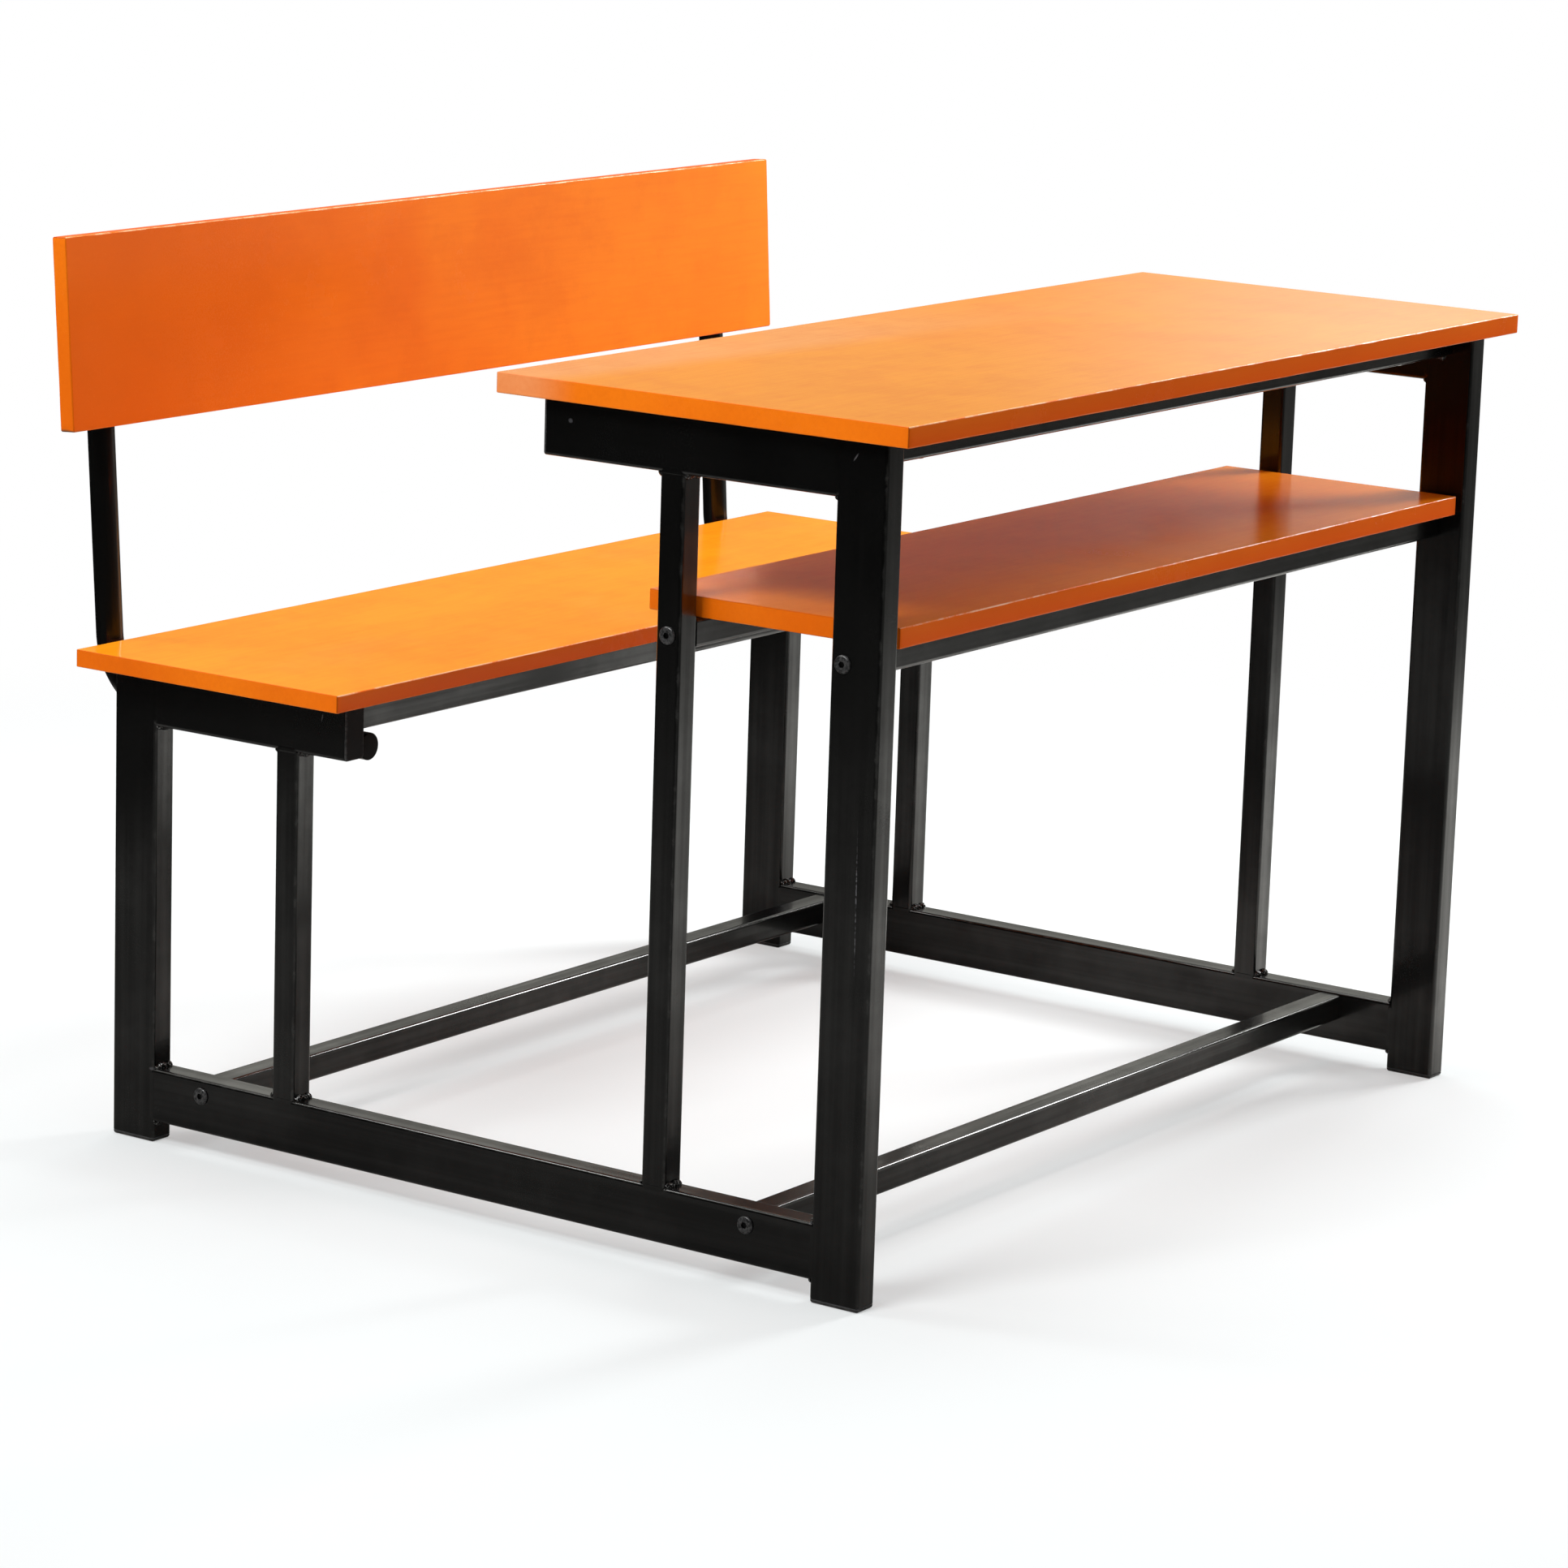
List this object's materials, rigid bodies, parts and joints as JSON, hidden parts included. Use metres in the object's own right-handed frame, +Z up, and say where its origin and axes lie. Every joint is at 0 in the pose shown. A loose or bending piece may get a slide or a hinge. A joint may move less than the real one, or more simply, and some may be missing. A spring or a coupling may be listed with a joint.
{
  "type": "school bench",
  "caption": "School bench with its desk top, book shelf, seat and backrest, orange boards on one black steel tube frame.",
  "frame": {"origin": "middle of the bench's footprint, on the floor", "axes": "+X along the bench to the right of someone who faces the desk's front edge, +Y from the desk to the backrest, +Z up"},
  "size_m": [1.085, 0.9442, 0.8316],
  "materials": {
    "black_steel": "black powder coat, satin",
    "orange_board": "orange lacquered board, satin",
    "black_plastic": "moulded, matt",
    "black_fastener": "blackened steel",
    "zinc_steel": "zinc plated"
  },
  "bodies": {
    "root": {"front_leg_left": "black_steel", "rear_leg_left": "black_steel", "desk_post_left": "black_steel", "seat_post_left": "black_steel", "bottom_side_rail_left": "black_steel", "desk_side_rail_left": "black_steel", "seat_side_rail_left": "black_steel", "front_foot_plug_left": "black_plastic", "rear_foot_plug_left": "black_plastic", "desk_rail_plug_left": "black_plastic", "seat_rail_plug_left": "black_plastic", "front_leg_right": "black_steel", "rear_leg_right": "black_steel", "desk_post_right": "black_steel", "seat_post_right": "black_steel", "bottom_side_rail_right": "black_steel", "desk_side_rail_right": "black_steel", "seat_side_rail_right": "black_steel", "front_foot_plug_right": "black_plastic", "rear_foot_plug_right": "black_plastic", "desk_rail_plug_right": "black_plastic", "seat_rail_plug_right": "black_plastic", "desk_front_rail": "black_steel", "desk_rear_rail": "black_steel", "seat_front_rail": "black_steel", "seat_rear_rail": "black_steel", "shelf_front_rail": "black_steel", "shelf_rear_rail": "black_steel", "bottom_front_rail": "black_steel", "bottom_rear_rail": "black_steel", "shelf_front_bolt_left": "black_fastener", "shelf_rear_bolt_left": "black_fastener", "bottom_front_bolt_left": "black_fastener", "bottom_rear_bolt_left": "black_fastener", "shelf_front_bolt_right": "black_fastener", "shelf_rear_bolt_right": "black_fastener", "bottom_front_bolt_right": "black_fastener", "bottom_rear_bolt_right": "black_fastener", "desk_top": "orange_board", "shelf": "orange_board", "seat": "orange_board", "backrest": "orange_board", "desk_top_screw_1": "zinc_steel", "desk_top_screw_2": "zinc_steel", "desk_top_screw_3": "zinc_steel", "desk_top_screw_4": "zinc_steel", "shelf_screw_1": "zinc_steel", "shelf_screw_2": "zinc_steel", "shelf_screw_3": "zinc_steel", "shelf_screw_4": "zinc_steel", "seat_screw_1": "zinc_steel", "seat_screw_2": "zinc_steel", "seat_screw_3": "zinc_steel", "seat_screw_4": "zinc_steel", "backrest_screw_1": "zinc_steel", "backrest_screw_2": "zinc_steel", "backrest_screw_3": "zinc_steel", "backrest_screw_4": "zinc_steel", "backrest_tube_left": "black_steel", "backrest_tube_right": "black_steel"}
  },
  "joints": []
}
